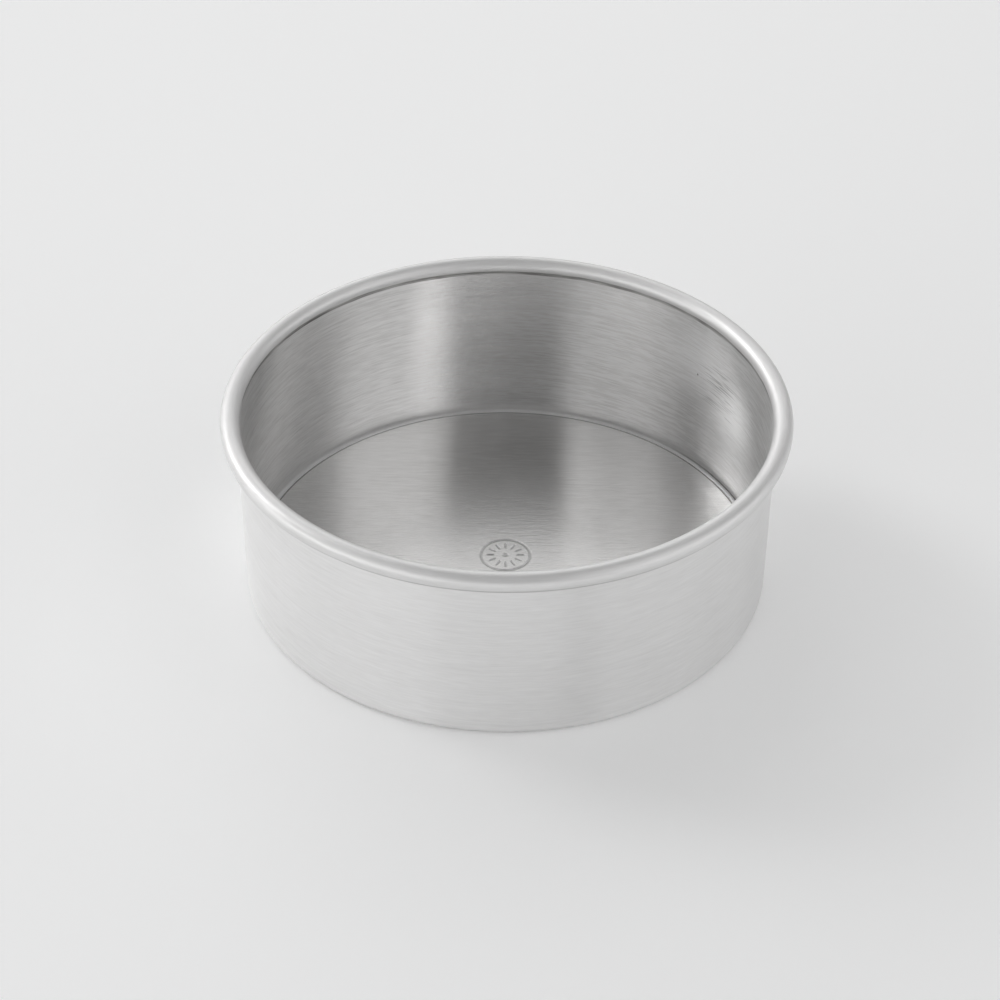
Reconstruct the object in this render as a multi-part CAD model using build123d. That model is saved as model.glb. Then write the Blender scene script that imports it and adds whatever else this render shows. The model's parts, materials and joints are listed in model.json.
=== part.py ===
from build123d import *
from math import acos, asin, ceil, degrees, floor
import os

# Round cake tin with a loose base, in millimetres.
# The origin is the centre of the underside, and +Z runs up the axis of the tin.

# Tin body, one piece of sheet
inner_diameter = 150.0
tin_height = 57.0
sheet_thickness = 0.8
rim_bead_diameter = 5.5
bead_overhang = 0.3
curl_end_gap = 0.3
bend_inner_radius = 1.2
ledge_width = 7.0

# Loose base, a disc punched from flat sheet
base_thickness = 1.0
base_bend_clearance = 0.2
roll_over_width = 0.8
roll_over_drop = 0.3
lower_edge_chamfer = 0.1

# Mark pressed into the middle of the base
mark_depth = 0.15
mark_dimple_diameter = 2.0
mark_ring_diameter = 14.4
mark_ring_width = 0.6
mark_ray_count = 12
mark_ray_length = 2.6
mark_ray_width = 0.5
mark_ray_ring_gap = 1.2

# Small rounds are turned as flats of this many degrees, so that the part meshes lightly.
flat_angle = 30.0

# Places that the two pieces share
inner_radius = inner_diameter / 2
ledge_top = sheet_thickness
bend_start_radius = inner_radius - bend_inner_radius
ledge_hole_radius = inner_radius - ledge_width
base_top = ledge_top + base_thickness
base_radius = bend_start_radius - base_bend_clearance


def flats(centre, radius, start, end):
    """An arc as chords that meet at its two ends and at multiples of the flat angle."""
    low, high = sorted((start / flat_angle, end / flat_angle))
    corners = [low, *range(floor(low) + 1, ceil(high)), high]
    if end < start:
        corners.reverse()
    arc = CenterArc(centre, radius, start, end - start)
    shares = [(corner * flat_angle - start) / (end - start) for corner in corners]
    return Polyline(*(arc @ share for share in shares))


def turn(outline_edges):
    """Close the edges of an outline in radius and height, and turn it about the tin's axis."""
    with BuildPart() as turned:
        with BuildSketch(Plane.XZ):
            with BuildLine():
                add(outline_edges)
            make_face()
        revolve(axis=Axis.Z)
    return turned.part


def tin_body():
    """Inturned ledge, bend, straight wall and outward curl, all in one sheet section."""
    curl_outer = rim_bead_diameter / 2
    curl_inner = curl_outer - sheet_thickness
    curl_centre = (inner_radius + curl_outer - bead_overhang, tin_height - curl_outer)
    bend_outer = bend_inner_radius + sheet_thickness
    bend_centre = (bend_start_radius, ledge_top + bend_inner_radius)
    wall_outer_radius = inner_radius + sheet_thickness

    # The curl's two faces leave the wall's two faces below its middle, in a crease inside.
    inside_angle = 180 + degrees(acos((curl_centre[0] - inner_radius) / curl_outer))
    outside_angle = 180 + degrees(acos((curl_centre[0] - wall_outer_radius) / curl_inner))

    # The curl stops where its end would come within the gap of the wall.
    curl_end_offset = curl_centre[0] - wall_outer_radius - curl_end_gap
    curl_end_angle = -degrees(acos(-curl_end_offset / curl_outer))

    ledge_upper = Line((ledge_hole_radius, ledge_top), (bend_start_radius, ledge_top))
    bend_inside = flats(bend_centre, bend_inner_radius, -90, 0)
    curl_outside = flats(curl_centre, curl_outer, inside_angle, curl_end_angle)
    wall_inside = Line(bend_inside @ 1, curl_outside @ 0)
    curl_inside = flats(curl_centre, curl_inner, outside_angle, curl_end_angle)
    curl_end = Line(curl_outside @ 1, curl_inside @ 1)
    wall_outside = Line(curl_inside @ 0, (wall_outer_radius, bend_centre[1]))
    bend_outside = flats(bend_centre, bend_outer, 0, -90)
    ledge_lower = Line(bend_outside @ 1, (ledge_hole_radius, 0))
    ledge_edge = Line(ledge_lower @ 1, ledge_upper @ 0)

    return turn([
        ledge_upper, bend_inside, wall_inside, curl_outside, curl_end,
        curl_inside, wall_outside, bend_outside, ledge_lower, ledge_edge,
    ])


def loose_base():
    """Flat disc that lies on the ledge, with a punched edge and a pressed mark."""
    roll_start = base_radius - roll_over_width
    roll_radius = (roll_over_width ** 2 + roll_over_drop ** 2) / (2 * roll_over_drop)
    roll_centre = (roll_start, base_top - roll_radius)
    roll_end_angle = 90 - degrees(asin(roll_over_width / roll_radius))
    ring_radius = mark_ring_diameter / 2
    ring_inside = ring_radius - mark_ring_width / 2
    ring_outside = ring_radius + mark_ring_width / 2
    groove_bottom = base_top - mark_depth
    ray_middle_radius = ring_inside - mark_ray_ring_gap - mark_ray_length / 2

    underside = Line((0, ledge_top), (base_radius - lower_edge_chamfer, ledge_top))
    chamfer_edge = Line(underside @ 1, (base_radius, ledge_top + lower_edge_chamfer))
    roll_over = flats(roll_centre, roll_radius, 90, roll_end_angle)
    punched_edge = Line(chamfer_edge @ 1, roll_over @ 1)
    outer_face = Line(roll_over @ 0, (ring_outside, base_top))
    ring_groove = Polyline(outer_face @ 1, (ring_radius, groove_bottom), (ring_inside, base_top))
    inner_face = Line(ring_groove @ 1, (mark_dimple_diameter / 2, base_top))
    dimple = TangentArc((0, groove_bottom), inner_face @ 1, tangent=(1, 0))
    axis_line = Line(dimple @ 0, underside @ 0)

    disc = turn([
        underside, chamfer_edge, punched_edge, roll_over, outer_face,
        ring_groove, inner_face, dimple, axis_line,
    ])

    with BuildPart() as rays:
        with BuildSketch(Plane.XY.offset(base_top)):
            with PolarLocations(ray_middle_radius, mark_ray_count):
                SlotOverall(mark_ray_length, mark_ray_width)
        extrude(amount=-mark_depth)
    return disc - rays.part


def write_step(solid, name):
    """One file for each piece, named after it."""
    solid.label = name
    export_step(solid, f"parts/{name}.step")


os.makedirs("parts", exist_ok=True)
write_step(tin_body(), "tin_body")
write_step(loose_base(), "loose_base")
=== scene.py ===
import json
from math import acos, asin, cos, degrees, hypot, pi, radians, sin, sqrt
import bmesh
import bpy
from mathutils import Matrix, Vector


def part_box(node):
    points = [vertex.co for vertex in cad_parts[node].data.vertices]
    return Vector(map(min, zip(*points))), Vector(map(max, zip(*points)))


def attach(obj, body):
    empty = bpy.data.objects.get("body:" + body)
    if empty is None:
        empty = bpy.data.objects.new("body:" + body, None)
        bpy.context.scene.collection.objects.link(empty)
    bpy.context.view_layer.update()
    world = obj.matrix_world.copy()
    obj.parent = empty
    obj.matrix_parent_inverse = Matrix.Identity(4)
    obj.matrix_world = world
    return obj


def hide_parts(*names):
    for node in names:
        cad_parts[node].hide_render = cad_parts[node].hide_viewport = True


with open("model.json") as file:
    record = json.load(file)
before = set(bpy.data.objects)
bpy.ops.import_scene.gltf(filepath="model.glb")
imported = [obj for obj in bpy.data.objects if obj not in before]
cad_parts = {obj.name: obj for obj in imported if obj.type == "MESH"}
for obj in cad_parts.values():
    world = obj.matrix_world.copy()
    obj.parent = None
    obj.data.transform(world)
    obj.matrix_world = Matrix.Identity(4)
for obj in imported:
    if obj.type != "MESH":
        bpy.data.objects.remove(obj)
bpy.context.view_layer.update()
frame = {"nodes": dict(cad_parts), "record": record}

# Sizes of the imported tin, in metres
mm = 0.001
tin_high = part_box("tin_body")[1]
base_low, base_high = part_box("loose_base")
mounts = {mount["name"]: mount for mount in frame["record"]["mounts"]}
bore = mounts["mould_bore"]
inner_radius = bore["dims"]["r_mm"] * mm
tin_height = tin_high.z
rim_radius = tin_high.x
ledge_top = base_low.z
base_top = base_high.z
base_radius = base_high.x
sheet = ledge_top
bore_half_length = bore["dims"]["length_mm"] * mm / 2
bore_bottom = bore["pos_m"][2] - bore_half_length
crease_height = bore["pos_m"][2] + bore_half_length
bend_inner = bore_bottom - ledge_top
wall_outer_radius = inner_radius + sheet

# The rim's curl touches the rim's outside and top, and passes through the crease on the wall.
curl_reach = rim_radius - inner_radius
curl_rise = tin_height - crease_height
curl_outer = curl_reach + curl_rise - sqrt(2 * curl_reach * curl_rise)
curl_inner = curl_outer - sheet
curl_centre = (rim_radius - curl_outer, tin_height - curl_outer)
ledge_hole_radius = min(hypot(v.co.x, v.co.y) for v in frame["nodes"]["tin_body"].data.vertices)

# Small sizes that the frame doesn't name
curl_end_gap = 0.3 * mm
cut_edge_break = 0.12 * mm
crease_rounding = 0.15 * mm
roll_over_width = 0.4 * mm
roll_over_drop = 0.12 * mm
lower_edge_chamfer = 0.1 * mm
sheet_wave = 0.05 * mm

# Pressed mark in the middle of the base
mark_depth = 0.1 * mm
mark_dimple_radius = 1.0 * mm
mark_ring_radius = 7.2 * mm
mark_ring_width = 1.1 * mm
mark_ray_count = 12
mark_ray_inner = 3.1 * mm
mark_ray_outer = 5.7 * mm
mark_ray_width = 0.8 * mm

# Places along the sheet's outline, from the ledge's hole: the base's edge, the bend's top and the crease
ledge_start = ledge_hole_radius + cut_edge_break
gap_section = base_radius - ledge_start
bend_top_section = inner_radius - bend_inner - ledge_start + pi / 2 * bend_inner
crease_section = bend_top_section + crease_height - bore_bottom

# Wear and painted light on the inside of the wall, by angle and height: short scratches, a small pit, and
# two rougher patches painted lighter as a painted highlight
scratch_angle = radians(32)
scratch_height = 34 * mm
scratch_reach = 13 * mm
upper_highlight_angle = radians(37)
upper_highlight_height = 37 * mm
lower_highlight_angle = radians(28)
lower_highlight_height = 26 * mm
highlight_reach = 22 * mm
pit_angle = radians(39.5)
pit_height = 34 * mm
pit_radius = 0.42 * mm

# The marks of turning stand out more on the inside round this place.
marked_angle = radians(62)
marked_height = 30 * mm
marked_reach = 70 * mm

# Marks of the lathe and the mill: their length and their spacing
fine_turned = (5 * mm, 0.36 * mm)
middle_turned = (9 * mm, 0.8 * mm)
ring_turned = (50 * mm, 0.9 * mm)
broad_turned = (30 * mm, 4 * mm)
scratch_marks = (9 * mm, 0.30 * mm)
fine_rolled = (4 * mm, 0.36 * mm)
middle_rolled = (10 * mm, 0.9 * mm)

# Soft borders of the inside, the painted light at the foot, the painted shade and the base's edge of painted
# shade: where they start and end, as distances past a place on the outline, or to both sides of it
inside_end = (0.0, 0.5 * mm)
lit_foot_start = (0.2 * mm, 0.6 * mm)
lit_bend_end = (0.0, 0.3 * mm)
lit_wall_end = (0.0, 4 * mm)
gap_shade_start = (-0.4 * mm, -0.1 * mm)
gap_shade_end = (0.2 * mm, 0.5 * mm)
bend_shade_sides = (0.15 * mm, 0.4 * mm)
crease_shade_sides = (0.0, 0.45 * mm)
crease_shade_wander = 0.7 * mm
near_rim_start = (-10 * mm, -8 * mm)
base_edge_shade_start = (-0.65 * mm, -0.3 * mm)
foot_shade_height = 2 * mm

# Fineness of the turned meshes
turn_steps = 360
curl_steps = 72
bend_steps = 10
wall_steps = 24
ledge_steps = 4
floor_steps = 40
mark_rings = 80


# Shader maths
class Signal:
    """A socket's value, so that maths on it is written as a plain expression."""

    def __init__(self, finish, socket):
        self.finish = finish
        self.socket = socket

    def __add__(self, other):
        return self.finish.maths("ADD", self, other)

    def __sub__(self, other):
        return self.finish.maths("SUBTRACT", self, other)

    def __mul__(self, other):
        return self.finish.maths("MULTIPLY", self, other)

    def __truediv__(self, other):
        return self.finish.maths("DIVIDE", self, other)

    def __rsub__(self, other):
        return self.finish.maths("SUBTRACT", other, self)

    __radd__ = __add__
    __rmul__ = __mul__


class Finish:
    """The nodes of one material or of the world."""

    def __init__(self, owner):
        owner.use_nodes = True
        self.tree = owner.node_tree
        self.tree.nodes.clear()

    def feed(self, socket, value):
        """Link a signal to a socket, or set the socket's own value."""
        if isinstance(value, Signal):
            self.tree.links.new(value.socket, socket)
        else:
            socket.default_value = value

    def node(self, kind, settings=None, inputs=None, output=0):
        """Add a node, set it, feed its sockets and give one of its outputs."""
        made = self.tree.nodes.new(kind)
        for name, value in (settings or {}).items():
            if name == "stops":
                self.set_stops(made.color_ramp, value)
            else:
                setattr(made, name, value)
        for name, value in (inputs or {}).items():
            self.feed(made.inputs[name], value)
        return Signal(self, made.outputs[output]) if made.outputs else made

    def set_stops(self, ramp, stops):
        """Grey stops as (place, brightness) pairs in order."""
        while len(ramp.elements) < len(stops):
            ramp.elements.new(1.0)
        for element, (place, brightness) in zip(ramp.elements, stops):
            element.position = place
            element.color = (brightness, brightness, brightness, 1.0)

    def maths(self, operation, *terms):
        return self.node("ShaderNodeMath", {"operation": operation}, dict(enumerate(terms)))

    def vector(self, operation, *terms):
        return self.node("ShaderNodeVectorMath", {"operation": operation}, dict(enumerate(terms)))

    def measure(self, operation, *terms):
        """A number worked out from vectors."""
        made = self.vector(operation, *terms)
        made.socket = made.socket.node.outputs["Value"]
        return made

    def scaled(self, direction, amount):
        """A direction times a number that may be a signal."""
        return self.node(
            "ShaderNodeVectorMath", {"operation": "SCALE"}, {"Vector": direction, "Scale": amount}
        )

    def parts(self, vector):
        """The x, y and z of a vector."""
        made = self.node("ShaderNodeSeparateXYZ", inputs={"Vector": vector})
        outputs = made.socket.node.outputs
        return [Signal(self, output) for output in outputs]

    def joined(self, x, y, z):
        return self.node("ShaderNodeCombineXYZ", inputs={"X": x, "Y": y, "Z": z})

    def noise(self, vector, scale=1.0, detail=2.0):
        """Noise from 0 to 1, about 0.5 on average."""
        return self.node(
            "ShaderNodeTexNoise",
            {"noise_dimensions": "3D"},
            {"Vector": vector, "Scale": scale, "Detail": detail, "Roughness": 0.5},
        )

    def ramp(self, value, stops):
        return self.node("ShaderNodeValToRGB", {"stops": stops}, {"Fac": value})

    def step(self, value, low, high):
        """Smoothly from 0 to 1 while the value goes from low to high."""
        return self.node(
            "ShaderNodeMapRange",
            {"interpolation_type": "SMOOTHSTEP"},
            {"Value": value, "From Min": low, "From Max": high},
        )

    def past(self, value, place, border):
        """Smoothly from 0 to 1 across a border that starts and ends past a place."""
        start, end = border
        return self.step(value, place + start, place + end)

    def mix(self, amount, first, second):
        """Blend of two colours."""
        made = self.tree.nodes.new("ShaderNodeMix")
        made.data_type = "RGBA"
        self.feed(made.inputs[0], amount)
        self.feed(made.inputs[6], first)
        self.feed(made.inputs[7], second)
        return Signal(self, made.outputs[2])

    def surface(self, shader):
        self.node("ShaderNodeOutputMaterial", inputs={"Surface": shader})


def grey(brightness, warmth=0.0):
    """A grey, a little warmer or cooler."""
    return (brightness * (1 + warmth), brightness, brightness * (1 - warmth), 1.0)


# Finishes
def turned_aluminium(name, roughness, anisotropy, metallic, brightness):
    """Satin sheet with fine marks that run round the turn, wear, painted light on the inside, and painted
    shade in the gap, at the bend, in the crease, under the curl and at the foot.
    """
    material = bpy.data.materials.new(name)
    finish = Finish(material)
    place = finish.node("ShaderNodeTexCoord", output=3)
    normal = finish.node("ShaderNodeNewGeometry", output=1)
    across = finish.node(
        "ShaderNodeAttribute", {"attribute_type": "GEOMETRY", "attribute_name": "section"}, output=2
    )
    x, y, z = finish.parts(place)

    def marks(size, seed, detail=1.0):
        """Streaks of a length along the turn and a spacing over it."""
        along, over = size
        return finish.noise(
            finish.joined(x / along + seed, y / along, across / over), detail=detail
        )

    fine = marks(fine_turned, 3.0)
    middle = marks(middle_turned, 17.0)
    rings = marks(ring_turned, 41.0)
    broad = marks(broad_turned, 31.0)
    clouds = finish.noise(place, scale=45.0, detail=2.0)
    inside = 1 - finish.past(across, crease_section, inside_end)

    def near(angle, height, core, reach):
        """1 at a place on the inside of the wall, falling to 0 at a distance from it."""
        spot = (inner_radius * cos(angle), inner_radius * sin(angle), height)
        return 1 - finish.step(finish.measure("DISTANCE", place, spot), core, reach)

    # Scratches are dashes that run round, few all over the inside and many in one patch.
    patch = near(scratch_angle, scratch_height, scratch_reach * 0.2, scratch_reach)
    dashes = finish.step(
        marks(scratch_marks, 53.0, detail=0.0), 0.66 - patch * 0.15, 0.76 - patch * 0.14
    )
    scratched = dashes * inside * (patch * 0.32 + 0.10)
    # Two patches are rougher, and their colour is painted lighter: a painted highlight.
    upper_rough_highlight = near(upper_highlight_angle, upper_highlight_height, highlight_reach * 0.1, highlight_reach) * 0.8
    lower_rough_highlight = near(lower_highlight_angle, lower_highlight_height, highlight_reach * 0.1, highlight_reach)
    rough_and_highlit = finish.maths("MAXIMUM", upper_rough_highlight, lower_rough_highlight) * inside
    pit = near(pit_angle, pit_height, pit_radius * 0.4, pit_radius)

    tilt = (fine - 0.5) * 0.07 + (middle - 0.5) * 0.06 + (rings - 0.5) * 0.05 + (broad - 0.5) * 0.03
    slope = tilt * (inside * 2.2 + patch * 1.5 + 0.9)
    round_the_turn = finish.vector("CROSS_PRODUCT", (0.0, 0.0, 1.0), place)
    round_unit = finish.vector("NORMALIZE", round_the_turn)
    up_the_section = finish.vector("CROSS_PRODUCT", normal, round_unit)
    tilted = finish.vector("ADD", normal, finish.scaled(up_the_section, slope))

    streaks = (fine - 0.5) * 0.8 + (middle - 0.5) * 0.5 + (rings - 0.5) * 0.5
    marked = near(marked_angle, marked_height, marked_reach * 0.4, marked_reach) * inside
    tone = streaks * (inside * 1.6 + patch * 1.5 + marked * 2.6 + 0.8) + (clouds - 0.5) * 0.3 + 0.5
    clean = finish.mix(tone, grey(brightness - 0.07, 0.006), grey(brightness + 0.07, 0.002))
    # Painted highlight: the two rougher patches are mixed towards a light grey.
    highlit = finish.mix(rough_and_highlit * 0.5, clean, grey(0.96, 0.002))
    worn = finish.mix(finish.maths("MAXIMUM", scratched, pit), highlit, grey(0.1))

    # The bend, and the wall a little above it, are made less metallic and painted lighter: painted light at
    # the shaded foot of the inside.
    off_ledge = finish.past(across, gap_section, lit_foot_start)
    on_foot = 1 - finish.past(across, bend_top_section, lit_wall_end)
    on_bend = 1 - finish.past(across, bend_top_section, lit_bend_end)
    dull_and_painted_light = off_ledge * (on_foot * 0.6 + on_bend * 0.4)
    lit_foot_colour = finish.mix(dull_and_painted_light, worn, grey(0.95, 0.004))

    # Painted shade: in the gap by the base's edge, on one side at the top of the bend, in the crease,
    # under the curl and at the outside of the foot
    past_edge = finish.past(across, gap_section, gap_shade_start)
    in_gap = past_edge * (1 - finish.past(across, gap_section, gap_shade_end))
    off_bend_top = finish.maths("ABSOLUTE", across - bend_top_section)
    right_side = finish.step(x, inner_radius * 0.6, inner_radius * 0.9)
    in_bend = (1 - finish.past(off_bend_top, 0.0, bend_shade_sides)) * right_side
    off_crease = finish.maths("ABSOLUTE", across - crease_section)
    wandering = off_crease - middle * crease_shade_wander
    in_crease = (1 - finish.past(wandering, 0.0, crease_shade_sides)) * (middle + 0.1)
    near_rim = finish.past(z, crease_height, near_rim_start)
    under_curl = finish.step(finish.parts(normal)[2], -0.3, -0.6) * near_rim * 0.4
    foot_stops = ((0.02, 0.0), (0.08, 0.5), (0.3, 0.4), (0.5, 0.0))
    at_foot = finish.ramp(z / foot_shade_height, foot_stops)
    painted_shade = in_gap * 0.85
    for shade_part in (in_bend * 0.8, in_crease, under_curl, at_foot * (1 - inside)):
        painted_shade = finish.maths("MAXIMUM", painted_shade, shade_part)
    # Painted shade: the masks above mix the colour towards a dark grey.
    colour = finish.mix(painted_shade, lit_foot_colour, grey(0.12, 0.05))
    shader = finish.node("ShaderNodeBsdfPrincipled", inputs={
        "Base Color": colour,
        "Metallic": metallic - dull_and_painted_light * 0.8,
        "Roughness": roughness + (clouds - 0.5) * 0.04 + rough_and_highlit * 0.16 + streaks * inside * 0.05,
        "Anisotropic": anisotropy,
        "Anisotropic Rotation": 0.25,
        "Normal": finish.vector("NORMALIZE", tilted),
    })
    finish.surface(shader)
    return material


def rolled_aluminium():
    """Flat sheet with the straight grain of the rolling mill, along X."""
    material = bpy.data.materials.new("rolled_aluminium")
    finish = Finish(material)
    place = finish.node("ShaderNodeTexCoord", output=3)
    normal = finish.node("ShaderNodeNewGeometry", output=1)
    x, y, z = finish.parts(place)

    def grain(size, seed):
        """Streaks of a length along X and a spacing along Y."""
        along, over = size
        return finish.noise(
            finish.joined(x / along + seed, y / over, z / along), detail=1.0
        )

    fine = grain(fine_rolled, 5.0)
    middle = grain(middle_rolled, 11.0)
    clouds = finish.noise(place, scale=40.0, detail=2.0)
    slope = (fine - 0.5) * 0.20 + (middle - 0.5) * 0.12
    tilted = finish.vector("ADD", normal, finish.scaled((0.0, 1.0, 0.0), slope))
    tone = (fine - 0.5) * 1.3 + (middle - 0.5) * 0.8 + (clouds - 0.5) * 0.6 + 0.5
    clean = finish.mix(tone, grey(0.72, 0.010), grey(0.86, 0.006))
    radius = finish.measure("LENGTH", finish.joined(x, y, 0.0))
    # The base's edge is painted dark: painted shade in the gap between the base and the ledge.
    edge = finish.past(radius, base_radius, base_edge_shade_start)
    edge_shaded = finish.mix(edge, clean, grey(0.2, 0.03))
    pressed = finish.node(
        "ShaderNodeAttribute", {"attribute_type": "GEOMETRY", "attribute_name": "pressed"}, output=2
    )
    # The pressed mark is painted darker the deeper it is pressed: painted shade in its grooves.
    colour = finish.mix(pressed * 0.45, edge_shaded, grey(0.25))
    shader = finish.node("ShaderNodeBsdfPrincipled", inputs={
        "Base Color": colour,
        "Metallic": 1.0,
        "Roughness": 0.24 + (clouds - 0.5) * 0.04,
        "Anisotropic": 0.9,
        "Anisotropic Rotation": 0.25,
        "Normal": finish.vector("NORMALIZE", tilted),
    })
    finish.surface(shader)
    return material


# Turned pieces
def arc(centre, radius, start, sweep, steps):
    """Points of an arc in radius and height, with angles in degrees."""
    angles = [radians(start + sweep * i / steps) for i in range(steps + 1)]
    return [(centre[0] + radius * cos(a), centre[1] + radius * sin(a)) for a in angles]


def straight(start, end, steps=1):
    """Points of a straight stretch in radius and height."""
    shares = [i / steps for i in range(steps + 1)]
    return [tuple(a + (b - a) * s for a, b in zip(start, end)) for s in shares]


def tin_section():
    """Stretches of the sheet's outline, from the ledge round the curl and back, with sharp edges between."""
    bend_centre = (inner_radius - bend_inner, ledge_top + bend_inner)
    inside_start = 180 + degrees(acos((curl_centre[0] - inner_radius) / curl_outer))
    outside_start = 180 + degrees(acos((curl_centre[0] - wall_outer_radius) / curl_inner))
    curl_end = -degrees(acos((wall_outer_radius + curl_end_gap - curl_centre[0]) / curl_outer))
    outside_curl = arc(curl_centre, curl_inner, curl_end, outside_start - curl_end, curl_steps)
    below_crease = (inner_radius, crease_height - crease_rounding)
    below_outside = (wall_outer_radius, outside_curl[-1][1] - crease_rounding)
    inside = (
        straight((ledge_start, ledge_top), (bend_centre[0], ledge_top), ledge_steps)
        + arc(bend_centre, bend_inner, -90, 90, bend_steps)[1:]
        + straight((inner_radius, bend_centre[1]), below_crease, wall_steps)[1:]
        + arc(curl_centre, curl_outer, inside_start, curl_end - inside_start, curl_steps)
    )
    outside = (
        outside_curl
        + straight(below_outside, (wall_outer_radius, bend_centre[1]), wall_steps)
        + arc(bend_centre, bend_inner + sheet, 0, -90, bend_steps)[1:]
        + straight((bend_centre[0], 0.0), (ledge_start, 0.0), ledge_steps)[1:]
    )
    hole_edge = straight(
        (ledge_hole_radius, cut_edge_break), (ledge_hole_radius, ledge_top - cut_edge_break)
    )
    return [inside, outside, hole_edge]


def spin(name, stretches, warp):
    """Turn stretches of an outline about Z into one closed mesh. warp moves each point a little.

    A point on the axis gives one vertex, that stands for its whole ring.
    """
    outline = [point for stretch in stretches for point in stretch]
    creases = set()
    count = 0
    for stretch in stretches:
        creases.add(count)
        count += len(stretch)
        creases.add(count - 1)
    lengths = [0.0]
    for (r0, z0), (r1, z1) in zip(outline, outline[1:]):
        lengths.append(lengths[-1] + hypot(r1 - r0, z1 - z0))

    mesh = bmesh.new()
    along = mesh.verts.layers.float.new("section")
    rings = []
    for (r, z), length in zip(outline, lengths):
        ring = []
        for step in range(turn_steps if r > 0 else 1):
            angle = 2 * pi * step / turn_steps
            vertex = mesh.verts.new(warp(r, z, angle))
            vertex[along] = length
            ring.append(vertex)
        rings.append(ring if r > 0 else ring * turn_steps)
    for i, ring in enumerate(rings):
        following = rings[(i + 1) % len(rings)]
        for step in range(turn_steps):
            beside = (step + 1) % turn_steps
            corners = dict.fromkeys((ring[step], ring[beside], following[beside], following[step]))
            if len(corners) > 2:
                face = mesh.faces.new(tuple(corners))
                face.smooth = True
    mesh.verts.index_update()
    for i in creases:
        if outline[i][0] > 0:
            ring = rings[i]
            for step in range(turn_steps):
                edge = mesh.edges.get((ring[step], ring[(step + 1) % turn_steps]))
                edge.smooth = False
    return finished(name, mesh)


def finished(name, mesh):
    """Put a mesh under construction into the scene as a piece."""
    bmesh.ops.recalc_face_normals(mesh, faces=mesh.faces)
    data = bpy.data.meshes.new(name)
    mesh.to_mesh(data)
    mesh.free()
    piece = bpy.data.objects.new(name, data)
    bpy.context.scene.collection.objects.link(piece)
    return piece


def tin_warp(r, z, angle):
    """Hand-finished sheet is never quite round: slow waves in the wall that die out at both ends."""
    share = min(max(z / tin_height, 0.0), 1.0)
    belly = sin(pi * share)
    wide = sin(3 * angle + 0.4)
    medium = 0.6 * sin(5 * angle + 2.0 + 2.5 * share)
    narrow = 0.4 * sin(8 * angle + 4.0 * share)
    moved = r + sheet_wave * (wide + medium + narrow) * belly
    return (moved * cos(angle), moved * sin(angle), z)


def groove(distance, width):
    """Depth share of a round-bottomed groove at a distance from its middle."""
    share = abs(distance) / (width / 2)
    return max(0.0, 1 - share * share)


def mark_press(r, angle):
    """Depth of the pressed mark: a dimple, a ring of short rays and a circle round them."""
    pitch = 2 * pi / mark_ray_count
    off_ray = (angle + pitch / 2) % pitch - pitch / 2
    sideways = r * sin(off_ray)
    along = r * cos(off_ray)
    half = mark_ray_width / 2
    beyond = max(mark_ray_inner + half - along, along - (mark_ray_outer - half), 0.0)
    ray = groove(hypot(sideways, beyond), mark_ray_width)
    ring = groove(r - mark_ring_radius, mark_ring_width)
    dimple = groove(r, 2 * mark_dimple_radius)
    return mark_depth * max(ray, ring, dimple)


def base_disc():
    """The loose base: flat, with a punched edge that rolls over above and is chamfered below."""
    mark_reach = mark_ring_radius + mark_ring_width
    roll_start = base_radius - roll_over_width
    roll_radius = (roll_over_width ** 2 + roll_over_drop ** 2) / (2 * roll_over_drop)
    roll_sweep = degrees(asin(roll_over_width / roll_radius))
    top = (
        straight((0.0, base_top), (mark_reach, base_top), mark_rings)
        + straight((mark_reach, base_top), (roll_start, base_top), floor_steps)[1:]
    )
    roll = arc((roll_start, base_top - roll_radius), roll_radius, 90, -roll_sweep, bend_steps)
    edge = straight((base_radius, base_top - roll_over_drop), (base_radius, ledge_top + lower_edge_chamfer))
    chamfer_end = base_radius - lower_edge_chamfer
    bottom = straight((chamfer_end, ledge_top), (0.0, ledge_top), floor_steps)

    def warp(r, z, angle):
        pressed = mark_press(r, angle) if z == base_top and r <= mark_reach else 0.0
        return (r * cos(angle), r * sin(angle), z - pressed)

    disc = spin("base_disc", [top + roll[1:], edge[1:], bottom], warp)
    pressed = disc.data.attributes.new("pressed", "FLOAT", "POINT")
    for vertex, value in zip(disc.data.vertices, pressed.data):
        on_top = vertex.co.z > base_top - 2 * mark_depth and vertex.co.to_2d().length < mark_reach
        value.value = (base_top - vertex.co.z) / mark_depth if on_top else 0.0
    return disc


tin_shell = spin("tin_shell", tin_section(), tin_warp)
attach(tin_shell, "tin")
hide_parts("tin_body")
tin_shell.data.materials.append(
    turned_aluminium("turned_wall", roughness=0.31, anisotropy=0.93, metallic=1.0, brightness=0.83)
)
tin_shell.data.materials.append(
    turned_aluminium("turned_rim", roughness=0.45, anisotropy=0.0, metallic=0.5, brightness=0.77)
)
for face in tin_shell.data.polygons:
    outward = hypot(face.center.x, face.center.y) - wall_outer_radius
    face.material_index = int(face.center.z > crease_height or outward > crease_rounding)

disc = base_disc()
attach(disc, "base")
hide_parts("loose_base")
disc.data.materials.append(rolled_aluminium())

# The disc's texture space lies far to one side, so that its tangents run straight along X.
disc.data.use_auto_texspace = False
disc.data.texspace_location = (0.0, -10.0, 0.0)


# Studio: a pale floor under a dim room with soft panels of light and shade
floor_reach = 3.0
floor_glow = 0.18

# The floor's colour is painted a little lighter towards the window, as painted light, over this distance to
# both sides of the tin.
window_direction = (-0.88, 0.47, 0.0)
floor_fade = 0.3


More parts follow.
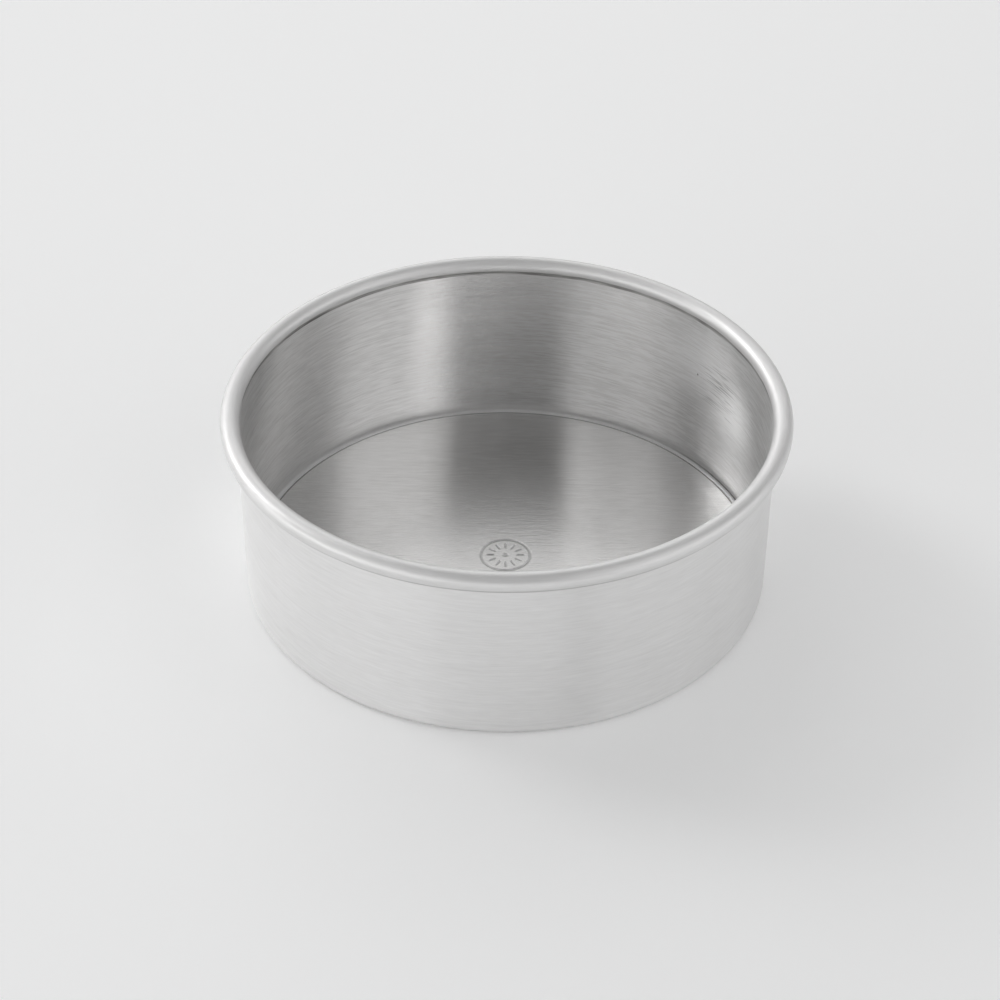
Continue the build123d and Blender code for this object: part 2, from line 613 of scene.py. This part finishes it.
def studio_floor():
    low, high = -floor_reach, floor_reach
    mesh = bmesh.new()
    corners = [(low, low, 0), (high, low, 0), (high, high, 0), (low, high, 0)]
    mesh.faces.new([mesh.verts.new(corner) for corner in corners])
    floor = finished("studio_floor", mesh)
    material = bpy.data.materials.new("pale_floor")
    finish = Finish(material)
    place = finish.node("ShaderNodeTexCoord", output=3)
    is_camera = finish.node("ShaderNodeLightPath", output=0)
    is_glossy = finish.node("ShaderNodeLightPath", output=3)
    seen = finish.maths("MAXIMUM", is_camera, is_glossy)
    towards_window = finish.measure("DOT_PRODUCT", place, window_direction)
    mottling = finish.noise(place, scale=6.0, detail=2.0)
    # Painted light: the floor's colour is lighter towards the window.
    near = finish.step(towards_window, -floor_fade, floor_fade) + (mottling - 0.5) * 0.1
    paint = finish.node("ShaderNodeBsdfPrincipled", inputs={
        "Base Color": finish.mix(near, grey(0.82, -0.002), grey(0.89, -0.002)),
        "Roughness": 0.9,
        "Specular IOR Level": 0.2,
        "Emission Color": finish.mix(seen, grey(0.0), grey(floor_glow)),
        "Emission Strength": 1.0,
    })
    clear = finish.node("ShaderNodeBsdfTransparent")
    from_below = finish.node("ShaderNodeNewGeometry", output=6)
    shader = finish.node("ShaderNodeMixShader", inputs={0: from_below, 1: paint, 2: clear})
    finish.surface(shader)
    floor.data.materials.append(material)


# Brightness of the room by height, as (elevation in degrees, brightness) pairs
room = ((0, 0.05), (25, 0.75), (50, 0.75), (90, 0.05))

# Panels in front of the room, later ones over earlier ones. Directions are seen from the tin, in degrees:
# azimuth from +X, half of the width, lowest and highest elevation, softness of the edge. Then brightness.
panels = (
    (-155, 39, 0, 23, 3, 2.1),
    (-148, 18, 20, 56, 3, 0.6),
    (-101, 35, 0, 12, 3, 1.7),
    (-90, 27, 12, 70, 3, 0.15),
    (-29, 22, 38, 63, 3, 1.15),
    (-17, 38, 0, 20, 3, 1.4),
    (22, 28, 30, 47, 3, 0.03),
    (80, 18, 15, 30, 5, 1.1),
    (90, 20, 33, 43, 3, 1.3),
    (118, 25, 14, 26, 3, 2.8),
    (117, 16, 37, 68, 3, 0.9),
    (151, 10, 14, 42, 3, 5.1),
    (180, 14, 22, 42, 3, 0.03),
)
background_grey = 0.80


def studio_world():
    world = bpy.data.worlds.new("studio")
    bpy.context.scene.world = world
    finish = Finish(world)
    direction = finish.node("ShaderNodeTexCoord", output=0)
    x, y, z = finish.parts(direction)
    level = finish.vector("NORMALIZE", finish.joined(x, y, 0.0))

    def above(elevation, soft):
        """0 below a height in the sky and 1 above it."""
        low = max(elevation - soft, -90)
        high = min(elevation + soft, 90)
        return finish.step(z, sin(radians(low)), sin(radians(high)))

    stops = [(sin(radians(elevation)), brightness) for elevation, brightness in room]
    seen = finish.ramp(z, stops)
    for azimuth, half_width, lowest, highest, soft, brightness in panels:
        middle = (cos(radians(azimuth)), sin(radians(azimuth)), 0.0)
        towards = finish.measure("DOT_PRODUCT", level, middle)
        outside = cos(radians(half_width + soft))
        inside = cos(radians(max(half_width - soft, 0)))
        share = finish.step(towards, outside, inside) * (1 - above(highest, soft))
        if lowest > 0:
            share = share * above(lowest, soft)
        seen = finish.mix(share, seen, grey(brightness))
    is_camera = finish.node("ShaderNodeLightPath", output=0)
    colour = finish.mix(is_camera, seen, grey(background_grey))
    background = finish.node("ShaderNodeBackground", inputs={"Color": colour, "Strength": 1.0})
    finish.node("ShaderNodeOutputWorld", inputs={"Surface": background})


studio_floor()
studio_world()

# Camera, as fitted to the rim and the base of the tin in the photograph
camera_elevation = radians(36.98)
camera_distance = 678.64 * mm
camera_sideways = -1.61 * mm
camera_rise = 17.58 * mm
camera_roll = radians(0.32)
lens = 82.83
sensor = 36.0


def studio_camera():
    back = Vector((0, -cos(camera_elevation), sin(camera_elevation)))
    level = Vector((1, 0, 0))
    upright = back.cross(level)
    right = level * cos(camera_roll) + upright * sin(camera_roll)
    up = upright * cos(camera_roll) - level * sin(camera_roll)
    place = back * camera_distance + right * camera_sideways + up * camera_rise
    data = bpy.data.cameras.new("camera")
    data.lens = lens
    data.sensor_width = sensor
    camera = bpy.data.objects.new("camera", data)
    turned = Matrix((right, up, back)).transposed().to_4x4()
    camera.matrix_world = Matrix.Translation(place) @ turned
    bpy.context.scene.collection.objects.link(camera)
    bpy.context.scene.camera = camera


studio_camera()
bpy.context.scene.view_settings.view_transform = "Standard"
